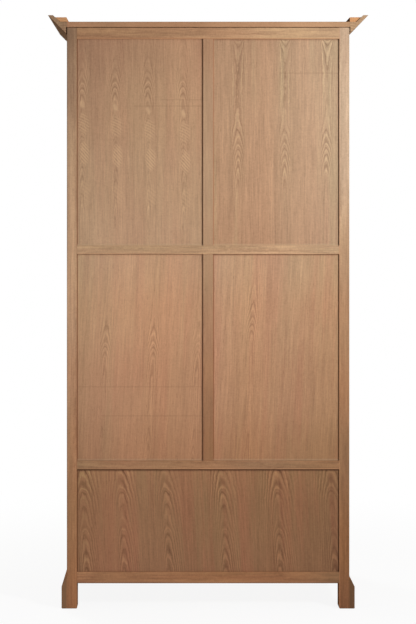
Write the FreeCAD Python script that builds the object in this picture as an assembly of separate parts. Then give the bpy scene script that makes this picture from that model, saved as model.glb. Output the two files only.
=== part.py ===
"""Tall two-door cabinet over two long drawers, with a flanged top and flared feet. Millimetres.

X runs from the left side (-) to the right side (+) as seen from the front, -Y is the front, +Z is up.
The origin lies on the floor, under the middle of the whole object.
"""
import FreeCAD, Part
import os

V = FreeCAD.Vector

# Overall sizes of the carcass, which is the box made by the four posts
carcass_width = 952.0
carcass_depth = 562.0
carcass_height = 1960.0
top_front_overhang = 38.0

# Posts and their flared feet
post_width = 34.0
post_depth = 60.0
foot_flare = 18.0
flare_top = 105.5
flare_bottom = 74.0
post_edge_chamfer = 1.5
foot_edge_chamfer = 2.0

# Heights of the back and side frame members
top_rail_height = 40.0
middle_rail_height = 29.0
middle_rail_bottom = 1194.5
waist_rail_height = 29.0
waist_rail_bottom = 469.5
bottom_rail_height = 38.0
bottom_rail_bottom = 85.5
muntin_width = 34.0
rail_thickness = 22.0
skirt_bottom = 64.0

# Panels sit in grooves and lie a little behind the faces of their frames
panel_thickness = 8.0
panel_recess = 6.0
panel_entry = 8.0
groove_depth = 9.0
slip_clearance = 0.2

# Tenons, which stop short of the mortise floor by the slip clearance
tenon_length = 18.0
tenon_thickness = 9.0
tenon_shoulder = 5.0
tenon_setback = 9.0
muntin_tenon_length = 11.0
shadow_rebate = 2.5

# Top board with an upswept flange at each end
top_board_thickness = 18.0
board_edge_chamfer = 1.5
flange_reach = 64.0
flange_tip_rise = 40.0
flange_root_gap = 3.0
flange_flat = 17.0
flange_slope_run = 23.0
tongue_length = 10.0
tongue_thickness = 5.5
tongue_lift = 3.0
filler_height = 15.5
filler_inset = 1.5
filler_corner = 3.0
filler_back_setback = 5.0
filler_front_setback = 60.0

# Front frame
divider_height = 24.0
front_gap = 1.5
door_thickness = 21.5
door_gap = 2.0
door_stile_width = 58.0
door_top_rail_height = 58.0
door_bottom_rail_height = 70.0
door_panel_recess = 5.0
door_edge_chamfer = 1.0
door_stop_width = 40.0
door_stop_height = 45.0
door_stop_thickness = 16.0
door_stop_overlap = 18.0
door_stop_offset = 20.0

# Boards and shelves
waist_board_thickness = 16.0
shelf_thickness = 18.0
shelf_front_clearance = 8.0
shelf_back_clearance = 8.0
shelf_end_clearance = 1.5
housing_depth = 8.0
pin_radius = 2.5
pin_collar_radius = 4.5
pin_collar_thickness = 1.3
pin_sunk_length = 12.0
pin_reach = 11.0
pin_inset = 20.0
pin_hole_count = 5
pin_hole_pitch = 32.0
pin_bore_clearance = 0.1
pin_collar_clearance = 0.05

# Drawers and the strips that they run on
runner_width = 18.0
runner_height = 20.0
runner_clearance = 0.4
drawer_front_thickness = 20.0
drawer_side_thickness = 12.0
drawer_side_clearance = 1.5
drawer_top_clearance = 10.6
drawer_back_thickness = 12.0
drawer_back_clearance = 48.0
drawer_bottom_thickness = 6.0
drawer_bottom_lift = 10.0
drawer_bottom_entry = 6.0
drawer_groove_depth = 6.5

# Barrel hinges screwed to the faces of post and door
hinge_height = 66.0
hinge_leaf_width = 24.0
hinge_leaf_thickness = 2.0
hinge_knuckle_radius = 4.0
hinge_pin_radius = 1.6
hinge_face_gap = 0.5
hinge_knuckle_gap = 0.3
hinge_pin_clearance = 0.08
hinge_pin_head = 2.0
hinge_level_shares = (0.1, 0.5, 0.9)
hinge_centre_share = 0.34

# Lock plates and drop pulls
plate_thickness = 2.0
plate_radius = 52.0
plate_edge_inset = 1.0
plate_chamfer = 0.6
door_pull_level = 1209.0
door_pull_offset = 26.0
door_pull_lift = 14.0
door_drop_length = 74.0
drawer_plate_radius = 23.0
drawer_pull_share = 0.27
drawer_pull_lift = 8.0
drawer_drop_length = 44.0
ear_thickness = 3.0
ear_radius = 4.5
ear_reach = 6.0
ear_spacing = 10.0
pull_pin_radius = 1.6
pull_pin_clearance = 0.08
barrel_radius = 3.5
barrel_end_gap = 0.3
drop_thickness = 3.0
drop_neck_width = 7.0
drop_foot_width = 17.0
drop_waist_share = 0.35

overrun = 5.0
parallel_share = 0.999

# Planes worked out from the sizes above
half_width = carcass_width / 2
inner_x = half_width - post_width
back_y = (carcass_depth + top_front_overhang) / 2
front_y = back_y - carcass_depth
top_front_y = front_y - top_front_overhang
back_post_front = back_y - post_depth
front_post_back = front_y + post_depth
frame_front = back_y - rail_thickness
front_rail_back = front_y + rail_thickness
drawer_end = frame_front - drawer_back_clearance
side_inner_x = half_width - rail_thickness
top_rail_bottom = carcass_height - top_rail_height
middle_rail_top = middle_rail_bottom + middle_rail_height
waist_rail_top = waist_rail_bottom + waist_rail_height
bottom_rail_top = bottom_rail_bottom + bottom_rail_height
drawer_opening_height = (waist_rail_bottom - bottom_rail_top - divider_height) / 2
divider_bottom = bottom_rail_top + drawer_opening_height
divider_top = divider_bottom + divider_height
door_bottom = waist_rail_top + door_gap
door_top = top_rail_bottom - door_gap
door_back = front_y + door_thickness
hinge_axis_x = inner_x - front_gap / 2
hinge_axis_y = front_y - hinge_face_gap - hinge_knuckle_radius
board_bottom = waist_rail_top - waist_board_thickness
board_top = carcass_height + top_board_thickness
opening_width = 2 * inner_x

SIDES = {"left": -1, "right": 1}


def block(x0, x1, y0, y1, z0, z1):
    """A box between the given planes, which may come in either order."""
    low = V(min(x0, x1), min(y0, y1), min(z0, z1))
    return Part.makeBox(abs(x1 - x0), abs(y1 - y0), abs(z1 - z0), low)


def edges_along(shape, axis, test):
    """Straight edges that run along an axis (0, 1 or 2) and pass a test on their midpoint."""
    found = []
    for edge in shape.Edges:
        a, b = edge.Vertexes[0].Point, edge.Vertexes[-1].Point
        run = b - a
        if abs(run[axis]) > run.Length * parallel_share and test((a + b) / 2):
            found.append(edge)
    return found


def near(value, plane):
    return abs(value - plane) < slip_clearance / 2


def mirrored(shape):
    """The same piece for the other side of the cabinet."""
    return shape.mirror(V(0, 0, 0), V(1, 0, 0))


def on_side(shape, side):
    """A piece drawn for the right side, moved to the side asked for."""
    return shape if side > 0 else mirrored(shape)


def prism(points, along, start, length):
    """A solid from an outline of (across, height) pairs, drawn along Y or along X."""
    if along == "y":
        corners = [V(u, start, z) for u, z in points]
        direction = V(0, length, 0)
    else:
        corners = [V(start, u, z) for u, z in points]
        direction = V(length, 0, 0)
    return Part.Face(Part.makePolygon(corners + corners[:1])).extrude(direction)


def flared_outline(top, bottom, inner):
    """Outline of a right-hand member whose outer face flares out towards the floor."""
    return [
        (inner, bottom),
        (half_width + foot_flare, bottom),
        (half_width + foot_flare, flare_bottom),
        (half_width, flare_top),
        (half_width, top),
        (inner, top),
    ]


def rail_levels():
    """Bottom and top of each rail of the back frame, from the floor up."""
    return {
        "bottom": (bottom_rail_bottom, bottom_rail_top),
        "waist": (waist_rail_bottom, waist_rail_top),
        "middle": (middle_rail_bottom, middle_rail_top),
        "top": (top_rail_bottom, carcass_height),
    }


def side_rail_levels():
    levels = rail_levels()
    levels["bottom"] = (skirt_bottom, bottom_rail_top)
    return levels


def front_rail_levels():
    return {
        "bottom": (bottom_rail_bottom, bottom_rail_top),
        "divider": (divider_bottom, divider_top),
        "waist": (waist_rail_bottom, waist_rail_top),
        "top": (top_rail_bottom, carcass_height),
    }


def tenon_x(face_y, inward, level, slack):
    """A tenon of a rail that runs along X, into the right-hand post. Slack makes it the mortise."""
    near_y = face_y + inward * tenon_setback
    far_y = near_y + inward * tenon_thickness
    low, high = min(near_y, far_y) - slack, max(near_y, far_y) + slack
    z0, z1 = level[0] + tenon_shoulder - slack, level[1] - tenon_shoulder + slack
    return block(inner_x, inner_x + tenon_length + slack, low, high, z0, z1)


def tenon_y(post_face, direction, level, slack):
    """A tenon of a side rail, which runs along Y, into the post whose face is given."""
    x1 = half_width - tenon_setback + slack
    x0 = x1 - tenon_thickness - 2 * slack
    end = post_face + direction * (tenon_length + slack)
    z0, z1 = level[0] + tenon_shoulder - slack, level[1] - tenon_shoulder + slack
    return block(x0, x1, post_face, end, z0, z1)


def panel_span(low, high, slack):
    """A panel or its groove between two planes of its frame."""
    reach = groove_depth if slack else panel_entry
    return low - reach, high + reach


def back_panel_solid(x0, x1, z0, z1, slack=0.0):
    px0, px1 = panel_span(x0, x1, slack)
    pz0, pz1 = panel_span(z0, z1, slack)
    outer = back_y - panel_recess
    return block(px0, px1, outer - panel_thickness - slack, outer + slack, pz0, pz1)


def side_panel_solid(z0, z1, slack=0.0):
    y0, y1 = panel_span(front_post_back, back_post_front, slack)
    pz0, pz1 = panel_span(z0, z1, slack)
    outer = half_width - panel_recess
    return block(outer - panel_thickness - slack, outer + slack, y0, y1, pz0, pz1)


def back_panel_places():
    """Name and clear opening of each back panel, left and right as seen from the front."""
    half = muntin_width / 2
    upper = (middle_rail_top, top_rail_bottom)
    middle = (waist_rail_top, middle_rail_bottom)
    return {
        "back_panel_upper_left": (-inner_x, -half, *upper),
        "back_panel_upper_right": (half, inner_x, *upper),
        "back_panel_middle_left": (-inner_x, -half, *middle),
        "back_panel_middle_right": (half, inner_x, *middle),
        "back_panel_lower": (-inner_x, inner_x, bottom_rail_top, waist_rail_bottom),
    }


def side_panel_places():
    return {
        "upper": (middle_rail_top, top_rail_bottom),
        "middle": (waist_rail_top, middle_rail_bottom),
        "lower": (bottom_rail_top, waist_rail_bottom),
    }


def back_grooves():
    grooves = [back_panel_solid(*place, slack=slip_clearance) for place in back_panel_places().values()]
    return grooves[0].multiFuse(grooves[1:])


def side_grooves():
    grooves = [side_panel_solid(*place, slack=slip_clearance) for place in side_panel_places().values()]
    return grooves[0].multiFuse(grooves[1:])


def shelf_levels():
    """Underside of each adjustable shelf, half way up its compartment."""
    upper = (middle_rail_top + top_rail_bottom) / 2
    lower = (waist_rail_top + middle_rail_bottom) / 2
    return (lower, upper)


def pin_hole_levels(shelf_underside):
    middle = (pin_hole_count - 1) / 2
    centre = shelf_underside - pin_radius
    return [centre + (n - middle) * pin_hole_pitch for n in range(pin_hole_count)]


def pin_y(post):
    return back_post_front + pin_inset if post == "back" else front_post_back - pin_inset


def pin_holes(post):
    """The rows of shelf pin holes in a right-hand post."""
    holes = []
    for level in shelf_levels():
        for z in pin_hole_levels(level):
            start = V(inner_x - overrun, pin_y(post), z)
            length = pin_sunk_length + pin_bore_clearance + overrun
            holes.append(Part.makeCylinder(pin_radius + pin_bore_clearance, length, start, V(1, 0, 0)))
    return holes


def make_post(post):
    """A right-hand post, front or back, with its flared foot, mortises, grooves and pin holes."""
    y0 = back_post_front if post == "back" else front_y
    face_y = back_y if post == "back" else front_y
    solid = prism(flared_outline(carcass_height, 0, inner_x), "y", y0, post_depth)
    outer_edges = edges_along(solid, 2, lambda p: p.x > half_width - slip_clearance and near(p.y, face_y))
    solid = solid.makeChamfer(post_edge_chamfer, outer_edges)
    sole = [e for e in solid.Edges if near(e.BoundBox.ZMax, 0)]
    solid = solid.makeChamfer(foot_edge_chamfer, sole)
    cutters = pin_holes(post)
    inward = -1 if post == "back" else 1
    levels = rail_levels() if post == "back" else front_rail_levels()
    cutters += [tenon_x(face_y, inward, level, slip_clearance) for level in levels.values()]
    side_face = back_post_front if post == "back" else front_post_back
    cutters += [tenon_y(side_face, -inward, level, slip_clearance) for level in side_rail_levels().values()]
    cutters.append(side_grooves())
    if post == "back":
        cutters.append(back_grooves())
        cutters.append(cap_shadow(inner_x - overrun, half_width + overrun))
    return solid.cut(cutters)


def cap_shadow(x0, x1):
    """The small step under the top board's back edge, which shows as a dark line."""
    return block(x0, x1, back_y - shadow_rebate, back_y + overrun,
                 carcass_height - shadow_rebate, carcass_height + overrun)


def make_x_rail(face_y, inward, level, front_back):
    """A rail between the posts, flush with their outer faces, with a tenon at each end."""
    back = face_y + inward * front_back
    rail = block(-inner_x, inner_x, face_y, back, *level)
    tenon = tenon_x(face_y, inward, level, 0)
    return rail.multiFuse([tenon, mirrored(tenon)])


def muntin_tenon(z, direction, slack):
    """A tenon on the end of a muntin, up or down into a rail."""
    half = muntin_width / 2 - tenon_shoulder + slack
    y1 = back_y - tenon_setback + slack
    y0 = y1 - tenon_thickness - 2 * slack
    return block(-half, half, y0, y1, z, z + direction * (muntin_tenon_length + slack))


def muntin_mortises():
    ends = [(top_rail_bottom, 1), (middle_rail_top, -1), (middle_rail_bottom, 1), (waist_rail_top, -1)]
    return [muntin_tenon(z, direction, slip_clearance) for z, direction in ends]


def make_back_rail(name):
    rail = make_x_rail(back_y, -1, rail_levels()[name], rail_thickness)
    cutters = [back_grooves()] + muntin_mortises()
    if name == "top":
        cutters.append(cap_shadow(-half_width, half_width))
    return rail.cut(cutters)


def make_muntin(z0, z1):
    half = muntin_width / 2
    body = block(-half, half, frame_front, back_y, z0, z1)
    body = body.multiFuse([muntin_tenon(z1, 1, 0), muntin_tenon(z0, -1, 0)])
    return body.cut(back_grooves())


def make_side_rail(name):
    """A right-hand side rail, flush with the outer faces of the posts."""
    level = side_rail_levels()[name]
    length = back_post_front - front_post_back
    if name == "bottom":
        rail = prism(flared_outline(level[1], level[0], side_inner_x), "y", front_post_back, length)
    else:
        rail = block(side_inner_x, half_width, front_post_back, back_post_front, *level)
    rail = rail.multiFuse([tenon_y(back_post_front, 1, level, 0), tenon_y(front_post_back, -1, level, 0)])
    cutters = [side_grooves()]
    if name == "middle":
        cutters.append(middle_shelf_board(slip_clearance))
    return rail.cut(cutters)


def middle_shelf_bottom():
    return middle_rail_bottom + (middle_rail_height - shelf_thickness) / 2


def middle_shelf_board(slack):
    """The fixed shelf before it is notched round the posts. Slack makes it the housing in the rails."""
    half = side_inner_x + housing_depth
    z0 = middle_shelf_bottom() - slack
    return block(-half - slack, half + slack, door_back + shelf_front_clearance - slack, frame_front,
                 z0, z0 + shelf_thickness + 2 * slack)


def post_notches():
    """Clearance boxes round the four posts, for boards that reach past them."""
    x0 = inner_x - slip_clearance
    boxes = [
        block(x0, half_width, back_post_front - slip_clearance, back_y, 0, carcass_height),
        block(x0, half_width, front_y - overrun, front_post_back + slip_clearance, 0, carcass_height),
    ]
    return boxes + [mirrored(b) for b in boxes]


def make_adjustable_shelves():
    half = inner_x - shelf_end_clearance
    y0, y1 = door_back + shelf_front_clearance, frame_front - shelf_back_clearance
    return [block(-half, half, y0, y1, z, z + shelf_thickness) for z in shelf_levels()]


def make_shelf_pins():
    pins = []
    for level in shelf_levels():
        for post in ("front", "back"):
            centre = V(inner_x + pin_sunk_length, pin_y(post), level - pin_radius)
            pin = Part.makeCylinder(pin_radius, pin_sunk_length + pin_reach, centre, V(-1, 0, 0))
            seat = V(inner_x - pin_collar_clearance, centre.y, centre.z)
            collar = Part.makeCylinder(pin_collar_radius, pin_collar_thickness, seat, V(-1, 0, 0))
            above = block(inner_x - pin_reach, inner_x, centre.y - pin_collar_radius,
                          centre.y + pin_collar_radius, level, level + pin_collar_radius)
            pin = pin.fuse(collar.cut(above)).removeSplitter()
            pins += [pin, mirrored(pin)]
    return pins


def make_waist_board():
    board = block(-side_inner_x, side_inner_x, front_rail_back, frame_front, board_bottom, waist_rail_top)
    return board.cut(post_notches())


def make_runners():
    """Strips that the drawers slide on and that keep them from tipping, fixed to the posts."""
    levels = [
        (bottom_rail_top - runner_height, bottom_rail_top),
        (divider_bottom, divider_top),
        (waist_rail_bottom, board_bottom),
    ]
    strips = [block(inner_x - runner_width, inner_x, front_rail_back, frame_front, *z) for z in levels]
    return strips + [mirrored(s) for s in strips]


def make_top_board():
    board = block(-half_width, half_width, top_front_y, back_y, carcass_height, board_top)
    long_edges = edges_along(board, 0, lambda p: near(p.y, top_front_y) or near(p.y + p.z, back_y + board_top))
    board = board.makeChamfer(board_edge_chamfer, long_edges)
    tongue = board_tongue(0)
    return board.multiFuse([tongue, mirrored(tongue)])


def board_tongue(slack):
    """The tongue on the right-hand end of the top board. Slack makes it the groove in the flange."""
    z0 = carcass_height + tongue_lift - slack
    start = half_width - (overrun if slack else 0)
    return block(start, half_width + tongue_length + slack, top_front_y + tongue_length - slack,
                 back_y - tongue_length + slack, z0, z0 + tongue_thickness + 2 * slack)


def flange_slope_x(z):
    """Where the sloping top face of the right-hand flange lies at a given height."""
    rise = (z - board_top) / (carcass_height + flange_tip_rise - board_top)
    return half_width + flange_reach - flange_flat - flange_slope_run * (1 - rise)


def make_flange():
    """The upswept right-hand flange: flat tip, sloping top face, and an underside at 45 degrees."""
    reach_x = half_width + flange_reach
    gap_x = half_width + flange_root_gap
    tip_z = carcass_height + flange_tip_rise
    outline = [
        (half_width, board_top),
        (flange_slope_x(board_top), board_top),
        (flange_slope_x(tip_z), tip_z),
        (reach_x, tip_z),
        (gap_x, tip_z - flange_reach + flange_root_gap),
        (gap_x, carcass_height),
        (half_width, carcass_height),
    ]
    solid = prism(outline, "y", top_front_y, back_y - top_front_y)
    return solid.cut(board_tongue(slip_clearance))


def make_filler():
    """A plain strip bedded in the corner behind the right-hand flange's slope, on top of its root."""
    top = board_top + filler_height
    outline = [
        (half_width + filler_inset, board_top),
        (flange_slope_x(board_top) - filler_corner, board_top),
        (flange_slope_x(board_top + filler_corner), board_top + filler_corner),
        (flange_slope_x(top), top),
        (half_width + filler_inset, top),
    ]
    y0, y1 = top_front_y + filler_front_setback, back_y - filler_back_setback
    return prism(outline, "y", y0, y1 - y0)


def door_edges():
    """Inner and outer X of the right-hand door."""
    return front_gap, inner_x - front_gap


def door_panel_solid(slack=0.0):
    x0, x1 = door_edges()
    px0, px1 = panel_span(x0 + door_stile_width, x1 - door_stile_width, slack)
    pz0, pz1 = panel_span(door_bottom + door_bottom_rail_height, door_top - door_top_rail_height, slack)
    face = front_y + door_panel_recess
    return block(px0, px1, face - slack, face + panel_thickness + slack, pz0, pz1)


def door_tenons(slack):
    """Tenons of the right-hand door's rails. Slack makes them the mortises in its stiles."""
    x0, x1 = door_edges()
    y0 = front_y + (door_thickness - tenon_thickness) / 2 - slack
    y1 = y0 + tenon_thickness + 2 * slack
    low = (door_bottom, door_bottom + door_bottom_rail_height)
    high = (door_top - door_top_rail_height, door_top)
    reach = tenon_length + slack
    tenons = []
    for z0, z1 in (low, high):
        z0, z1 = z0 + 2 * tenon_shoulder - slack, z1 - 2 * tenon_shoulder + slack
        tenons.append(block(x0 + door_stile_width, x0 + door_stile_width - reach, y0, y1, z0, z1))
        tenons.append(block(x1 - door_stile_width, x1 - door_stile_width + reach, y0, y1, z0, z1))
    return tenons


def make_door_stiles():
    x0, x1 = door_edges()
    stiles = []
    for a, b in ((x0, x0 + door_stile_width), (x1 - door_stile_width, x1)):
        stile = block(a, b, front_y, door_back, door_bottom, door_top)
        outer = x0 if a == x0 else x1
        edges = edges_along(stile, 2, lambda p: near(p.x, outer) and near(p.y, front_y))
        stile = stile.makeChamfer(door_edge_chamfer, edges)
        stiles.append(stile.cut([door_panel_solid(slip_clearance)] + door_tenons(slip_clearance)))
    return stiles


def make_door_rails():
    x0, x1 = door_edges()
    x0, x1 = x0 + door_stile_width, x1 - door_stile_width
    tenons = door_tenons(0)
    low = block(x0, x1, front_y, door_back, door_bottom, door_bottom + door_bottom_rail_height)
    high = block(x0, x1, front_y, door_back, door_top - door_top_rail_height, door_top)
    groove = door_panel_solid(slip_clearance)
    return [low.multiFuse(tenons[:2]).cut(groove), high.multiFuse(tenons[2:]).cut(groove)]


def make_door_stops():
    x0 = door_stop_offset
    z0 = door_top - door_stop_overlap
    stop = block(x0, x0 + door_stop_width, front_rail_back, front_rail_back + door_stop_thickness,
                 z0, z0 + door_stop_height)
    return [stop, mirrored(stop)]


def hinge_levels():
    """Bottom of each hinge, spread over the height of the door."""
    span = door_top - door_bottom
    return [door_bottom + span * share - hinge_height / 2 for share in hinge_level_shares]


def knuckle_spans(z):
    """Bottom and top of the three knuckles of a hinge, with a thin gap between neighbours."""
    centre = hinge_height * hinge_centre_share
    outer = (hinge_height - centre) / 2
    gap = hinge_knuckle_gap / 2
    return [(z, z + outer - gap), (z + outer + gap, z + outer + centre - gap),
            (z + outer + centre + gap, z + hinge_height)]


def hinge_half(z, own, other, direction):
    """One leaf of a right-hand hinge with its knuckles. Direction is +1 for the post's leaf."""
    face_y = front_y - hinge_leaf_thickness
    end_x = hinge_axis_x + direction * (hinge_knuckle_radius + hinge_leaf_width)
    leaf = block(hinge_axis_x, end_x, face_y, front_y, z, z + hinge_height)
    axis = V(hinge_axis_x, hinge_axis_y, 0)
    barrels = []
    for low, high in own:
        barrels.append(Part.makeCylinder(hinge_knuckle_radius, high - low, axis + V(0, 0, low)))
    solid = leaf.multiFuse(barrels)
    clear = hinge_knuckle_radius + hinge_face_gap
    cutters = [Part.makeCylinder(hinge_pin_radius + hinge_pin_clearance, hinge_height + 2 * overrun,
                                 axis + V(0, 0, z - overrun))]
    for low, high in other:
        cutters.append(block(hinge_axis_x - clear, hinge_axis_x + clear, hinge_axis_y - clear, front_y,
                             low - hinge_knuckle_gap, high + hinge_knuckle_gap))
    return solid.cut(cutters).removeSplitter()


def make_post_hinge_halves():
    halves = []
    for z in hinge_levels():
        spans = knuckle_spans(z)
        halves.append(hinge_half(z, spans[::2], spans[1:2], 1))
        pin = Part.makeCylinder(hinge_pin_radius, hinge_height, V(hinge_axis_x, hinge_axis_y, z))
        for end, up in ((z, -1), (z + hinge_height, 1)):
            start = V(hinge_axis_x, hinge_axis_y, end + up * hinge_pin_clearance)
            neck = Part.makeCylinder(hinge_pin_radius, hinge_pin_clearance, V(start.x, start.y, end), V(0, 0, up))
            cap = Part.makeCone(hinge_knuckle_radius, hinge_pin_radius, hinge_pin_head, start, V(0, 0, up))
            pin = pin.multiFuse([neck, cap])
        halves.append(pin.removeSplitter())
    return halves


def make_door_hinge_leaves():
    leaves = []
    for z in hinge_levels():
        spans = knuckle_spans(z)
        leaves.append(hinge_half(z, spans[1:2], spans[::2], -1))
    return leaves


def pull_axis_y(face_y):
    return face_y - plate_thickness - ear_reach


def pull_bracket(x, z, face_y):
    """Two ears and the bar between them, which a drop pull hangs on."""
    axis_y = pull_axis_y(face_y)
    pieces = []
    for side in SIDES.values():
        x0 = x + side * ear_spacing / 2
        x1 = x0 + side * ear_thickness
        pieces.append(block(x0, x1, face_y - plate_thickness, axis_y, z - ear_radius, z + ear_radius))
        pieces.append(Part.makeCylinder(ear_radius, ear_thickness, V(min(x0, x1), axis_y, z), V(1, 0, 0)))
    pieces.append(Part.makeCylinder(pull_pin_radius, ear_spacing + ear_thickness,
                                    V(x - (ear_spacing + ear_thickness) / 2, axis_y, z), V(1, 0, 0)))
    return pieces


def make_lock_plate():
    """The right-hand half of the round plate on the meeting stiles, with the bracket for its pull."""
    centre = V(0, front_y, door_pull_level)
    disc = Part.makeCylinder(plate_radius, plate_thickness, centre, V(0, -1, 0))
    rim = [e for e in disc.Edges if e.Closed and near(e.BoundBox.YMin, front_y - plate_thickness)]
    disc = disc.makeChamfer(plate_chamfer, rim)
    split = front_gap + plate_edge_inset
    disc = disc.cut(block(-plate_radius - overrun, split, front_y + overrun, front_y - plate_thickness - overrun,
                          door_pull_level - plate_radius - overrun, door_pull_level + plate_radius + overrun))
    bracket = pull_bracket(door_pull_offset, door_pull_level + door_pull_lift, front_y)
    return disc.multiFuse(bracket).removeSplitter()


def make_drop(x, z, face_y, length):
    """A drop pull: a barrel that turns on the bar, and a flat tongue that widens to a round foot."""
    axis_y = pull_axis_y(face_y)
    width = ear_spacing - 2 * barrel_end_gap
    barrel = Part.makeCylinder(barrel_radius, width, V(x - width / 2, axis_y, z), V(1, 0, 0))
    y0 = axis_y - drop_thickness / 2
    neck, foot = drop_neck_width / 2, drop_foot_width / 2
    waist_z = z - length * drop_waist_share
    foot_z = z - length + foot
    points = [V(x - neck, y0, z), V(x + neck, y0, z), V(x + neck, y0, waist_z), V(x + foot, y0, foot_z)]
    edges = [Part.LineSegment(a, b).toShape() for a, b in zip(points, points[1:])]
    edges.append(Part.Arc(points[-1], V(x, y0, z - length), V(x - foot, y0, foot_z)).toShape())
    edges.append(Part.LineSegment(V(x - foot, y0, foot_z), V(x - neck, y0, waist_z)).toShape())
    edges.append(Part.LineSegment(V(x - neck, y0, waist_z), points[0]).toShape())
    tongue = Part.Face(Part.Wire(edges)).extrude(V(0, drop_thickness, 0))
    bore = Part.makeCylinder(pull_pin_radius + pull_pin_clearance, width + 2 * overrun,
                             V(x - width / 2 - overrun, axis_y, z), V(1, 0, 0))
    return barrel.fuse(tongue).cut(bore).removeSplitter()


def drawer_openings():
    """Bottom and top of the two drawer openings."""
    return {"lower": (bottom_rail_top, divider_bottom), "upper": (divider_top, waist_rail_bottom)}


def drawer_bottom_board(opening, slack=0.0):
    """The thin bottom of a drawer, in grooves of its front and sides. Slack makes it the groove."""
    reach = drawer_groove_depth if slack else drawer_bottom_entry
    half = inner_x - drawer_side_clearance - drawer_side_thickness + reach
    z0 = opening[0] + runner_clearance + drawer_bottom_lift - slack
    y0 = front_y + drawer_front_thickness - reach
    y1 = drawer_end + (overrun if slack else 0)
    return block(-half, half, y0, y1, z0, z0 + drawer_bottom_thickness + 2 * slack)


def make_drawer_front(opening):
    half = inner_x - front_gap
    z0, z1 = opening[0] + front_gap, opening[1] - front_gap
    front = block(-half, half, front_y, front_y + drawer_front_thickness, z0, z1)
    rim = [e for e in front.Edges if near(e.BoundBox.YMax, front_y)]
    front = front.makeChamfer(door_edge_chamfer, rim)
    return front.cut(drawer_bottom_board(opening, slip_clearance))


def make_drawer_box(opening):
    """Two sides, the back and the bottom of a drawer, as four pieces."""
    x1 = inner_x - drawer_side_clearance
    x0 = x1 - drawer_side_thickness
    z0 = opening[0] + runner_clearance
    z1 = opening[1] - drawer_top_clearance
    y0, y1 = front_y + drawer_front_thickness, drawer_end
    bottom = drawer_bottom_board(opening)
    side = block(x0, x1, y0, y1, z0, z1).cut(drawer_bottom_board(opening, slip_clearance))
    back_z0 = z0 + drawer_bottom_lift + drawer_bottom_thickness + slip_clearance
    back = block(-x0, x0, y1 - drawer_back_thickness, y1, back_z0, z1)
    return [side, mirrored(side), back, bottom]


def drawer_pull_x():
    return opening_width * drawer_pull_share


def drawer_pull_z(opening):
    return (opening[0] + opening[1]) / 2 + drawer_pull_lift


def make_drawer_plates(opening):
    """Round back plates of a drawer's two pulls, each with its bracket."""
    x, z = drawer_pull_x(), drawer_pull_z(opening)
    disc = Part.makeCylinder(drawer_plate_radius, plate_thickness, V(x, front_y, z), V(0, -1, 0))
    rim = [e for e in disc.Edges if e.Closed and near(e.BoundBox.YMin, front_y - plate_thickness)]
    disc = disc.makeChamfer(plate_chamfer, rim)
    plate = disc.multiFuse(pull_bracket(x, z, front_y)).removeSplitter()
    return [plate, mirrored(plate)]


def carcass_nodes():
    nodes = {}
    for post in ("back", "front"):
        solid = make_post(post)
        for side, sign in SIDES.items():
            nodes[f"{side}_{post}_post"] = on_side(solid, sign)
    for name in rail_levels():
        nodes[f"back_{name}_rail"] = make_back_rail(name)
    nodes["back_upper_muntin"] = make_muntin(middle_rail_top, top_rail_bottom)
    nodes["back_middle_muntin"] = make_muntin(waist_rail_top, middle_rail_bottom)
    for name, place in back_panel_places().items():
        nodes[name] = back_panel_solid(*place)
    places = side_panel_places()
    rails = [make_side_rail(name) for name in ("top", "middle", "waist")]
    skirt = make_side_rail("bottom")
    tall_panels = [side_panel_solid(*places["upper"]), side_panel_solid(*places["middle"])]
    for side, sign in SIDES.items():
        nodes[f"{side}_side_rails"] = [on_side(r, sign) for r in rails]
        nodes[f"{side}_side_skirt"] = on_side(skirt, sign)
        nodes[f"{side}_side_tall_panels"] = [on_side(p, sign) for p in tall_panels]
        nodes[f"{side}_side_lower_panel"] = on_side(side_panel_solid(*places["lower"]), sign)
    for name, level in front_rail_levels().items():
        nodes[f"front_{name}_rail"] = make_x_rail(front_y, 1, level, rail_thickness)
    return nodes


def cap_nodes():
    nodes = {"top_board": make_top_board()}
    flange = make_flange()
    filler = make_filler()
    for side, sign in SIDES.items():
        nodes[f"{side}_top_flange"] = on_side(flange, sign)
    nodes["flange_fillers"] = [filler, mirrored(filler)]
    return nodes


def interior_nodes():
    hinge_halves = make_post_hinge_halves()
    return {
        "waist_board": make_waist_board(),
        "middle_shelf": middle_shelf_board(0).cut(post_notches()),
        "adjustable_shelves": make_adjustable_shelves(),
        "shelf_pins": make_shelf_pins(),
        "drawer_runners": make_runners(),
        "door_stops": make_door_stops(),
        "post_hinge_halves": hinge_halves + [mirrored(h) for h in hinge_halves],
    }


def door_nodes():
    pull_z = door_pull_level + door_pull_lift
    pieces = {
        "stiles": make_door_stiles(),
        "rails": make_door_rails(),
        "panel": [door_panel_solid()],
        "hinge_leaves": make_door_hinge_leaves(),
        "lock_plate": [make_lock_plate()],
        "drop_pull": [make_drop(door_pull_offset, pull_z, front_y, door_drop_length)],
    }
    nodes = {}
    for side, sign in SIDES.items():
        for name, solids in pieces.items():
            nodes[f"{side}_door_{name}"] = [on_side(s, sign) for s in solids]
    return nodes


def drawer_nodes():
    nodes = {}
    for name, opening in drawer_openings().items():
        nodes[f"{name}_drawer_front"] = make_drawer_front(opening)
        nodes[f"{name}_drawer_box"] = make_drawer_box(opening)
        nodes[f"{name}_drawer_plates"] = make_drawer_plates(opening)
        drop = make_drop(drawer_pull_x(), drawer_pull_z(opening), front_y, drawer_drop_length)
        for side, sign in SIDES.items():
            nodes[f"{name}_drawer_{side}_pull"] = on_side(drop, sign)
    return nodes


def write(name, solids):
    solids = solids if isinstance(solids, list) else [solids]
    flat = [piece for shape in solids for piece in shape.Solids]
    shape = flat[0] if len(flat) == 1 else Part.makeCompound(flat)
    shape.exportStep(os.path.join("parts", f"{name}.step"))
    print(f"{name}: {len(flat)} solid(s), {shape.Volume / 1000:.1f} cm3, valid {shape.isValid()}")


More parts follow.
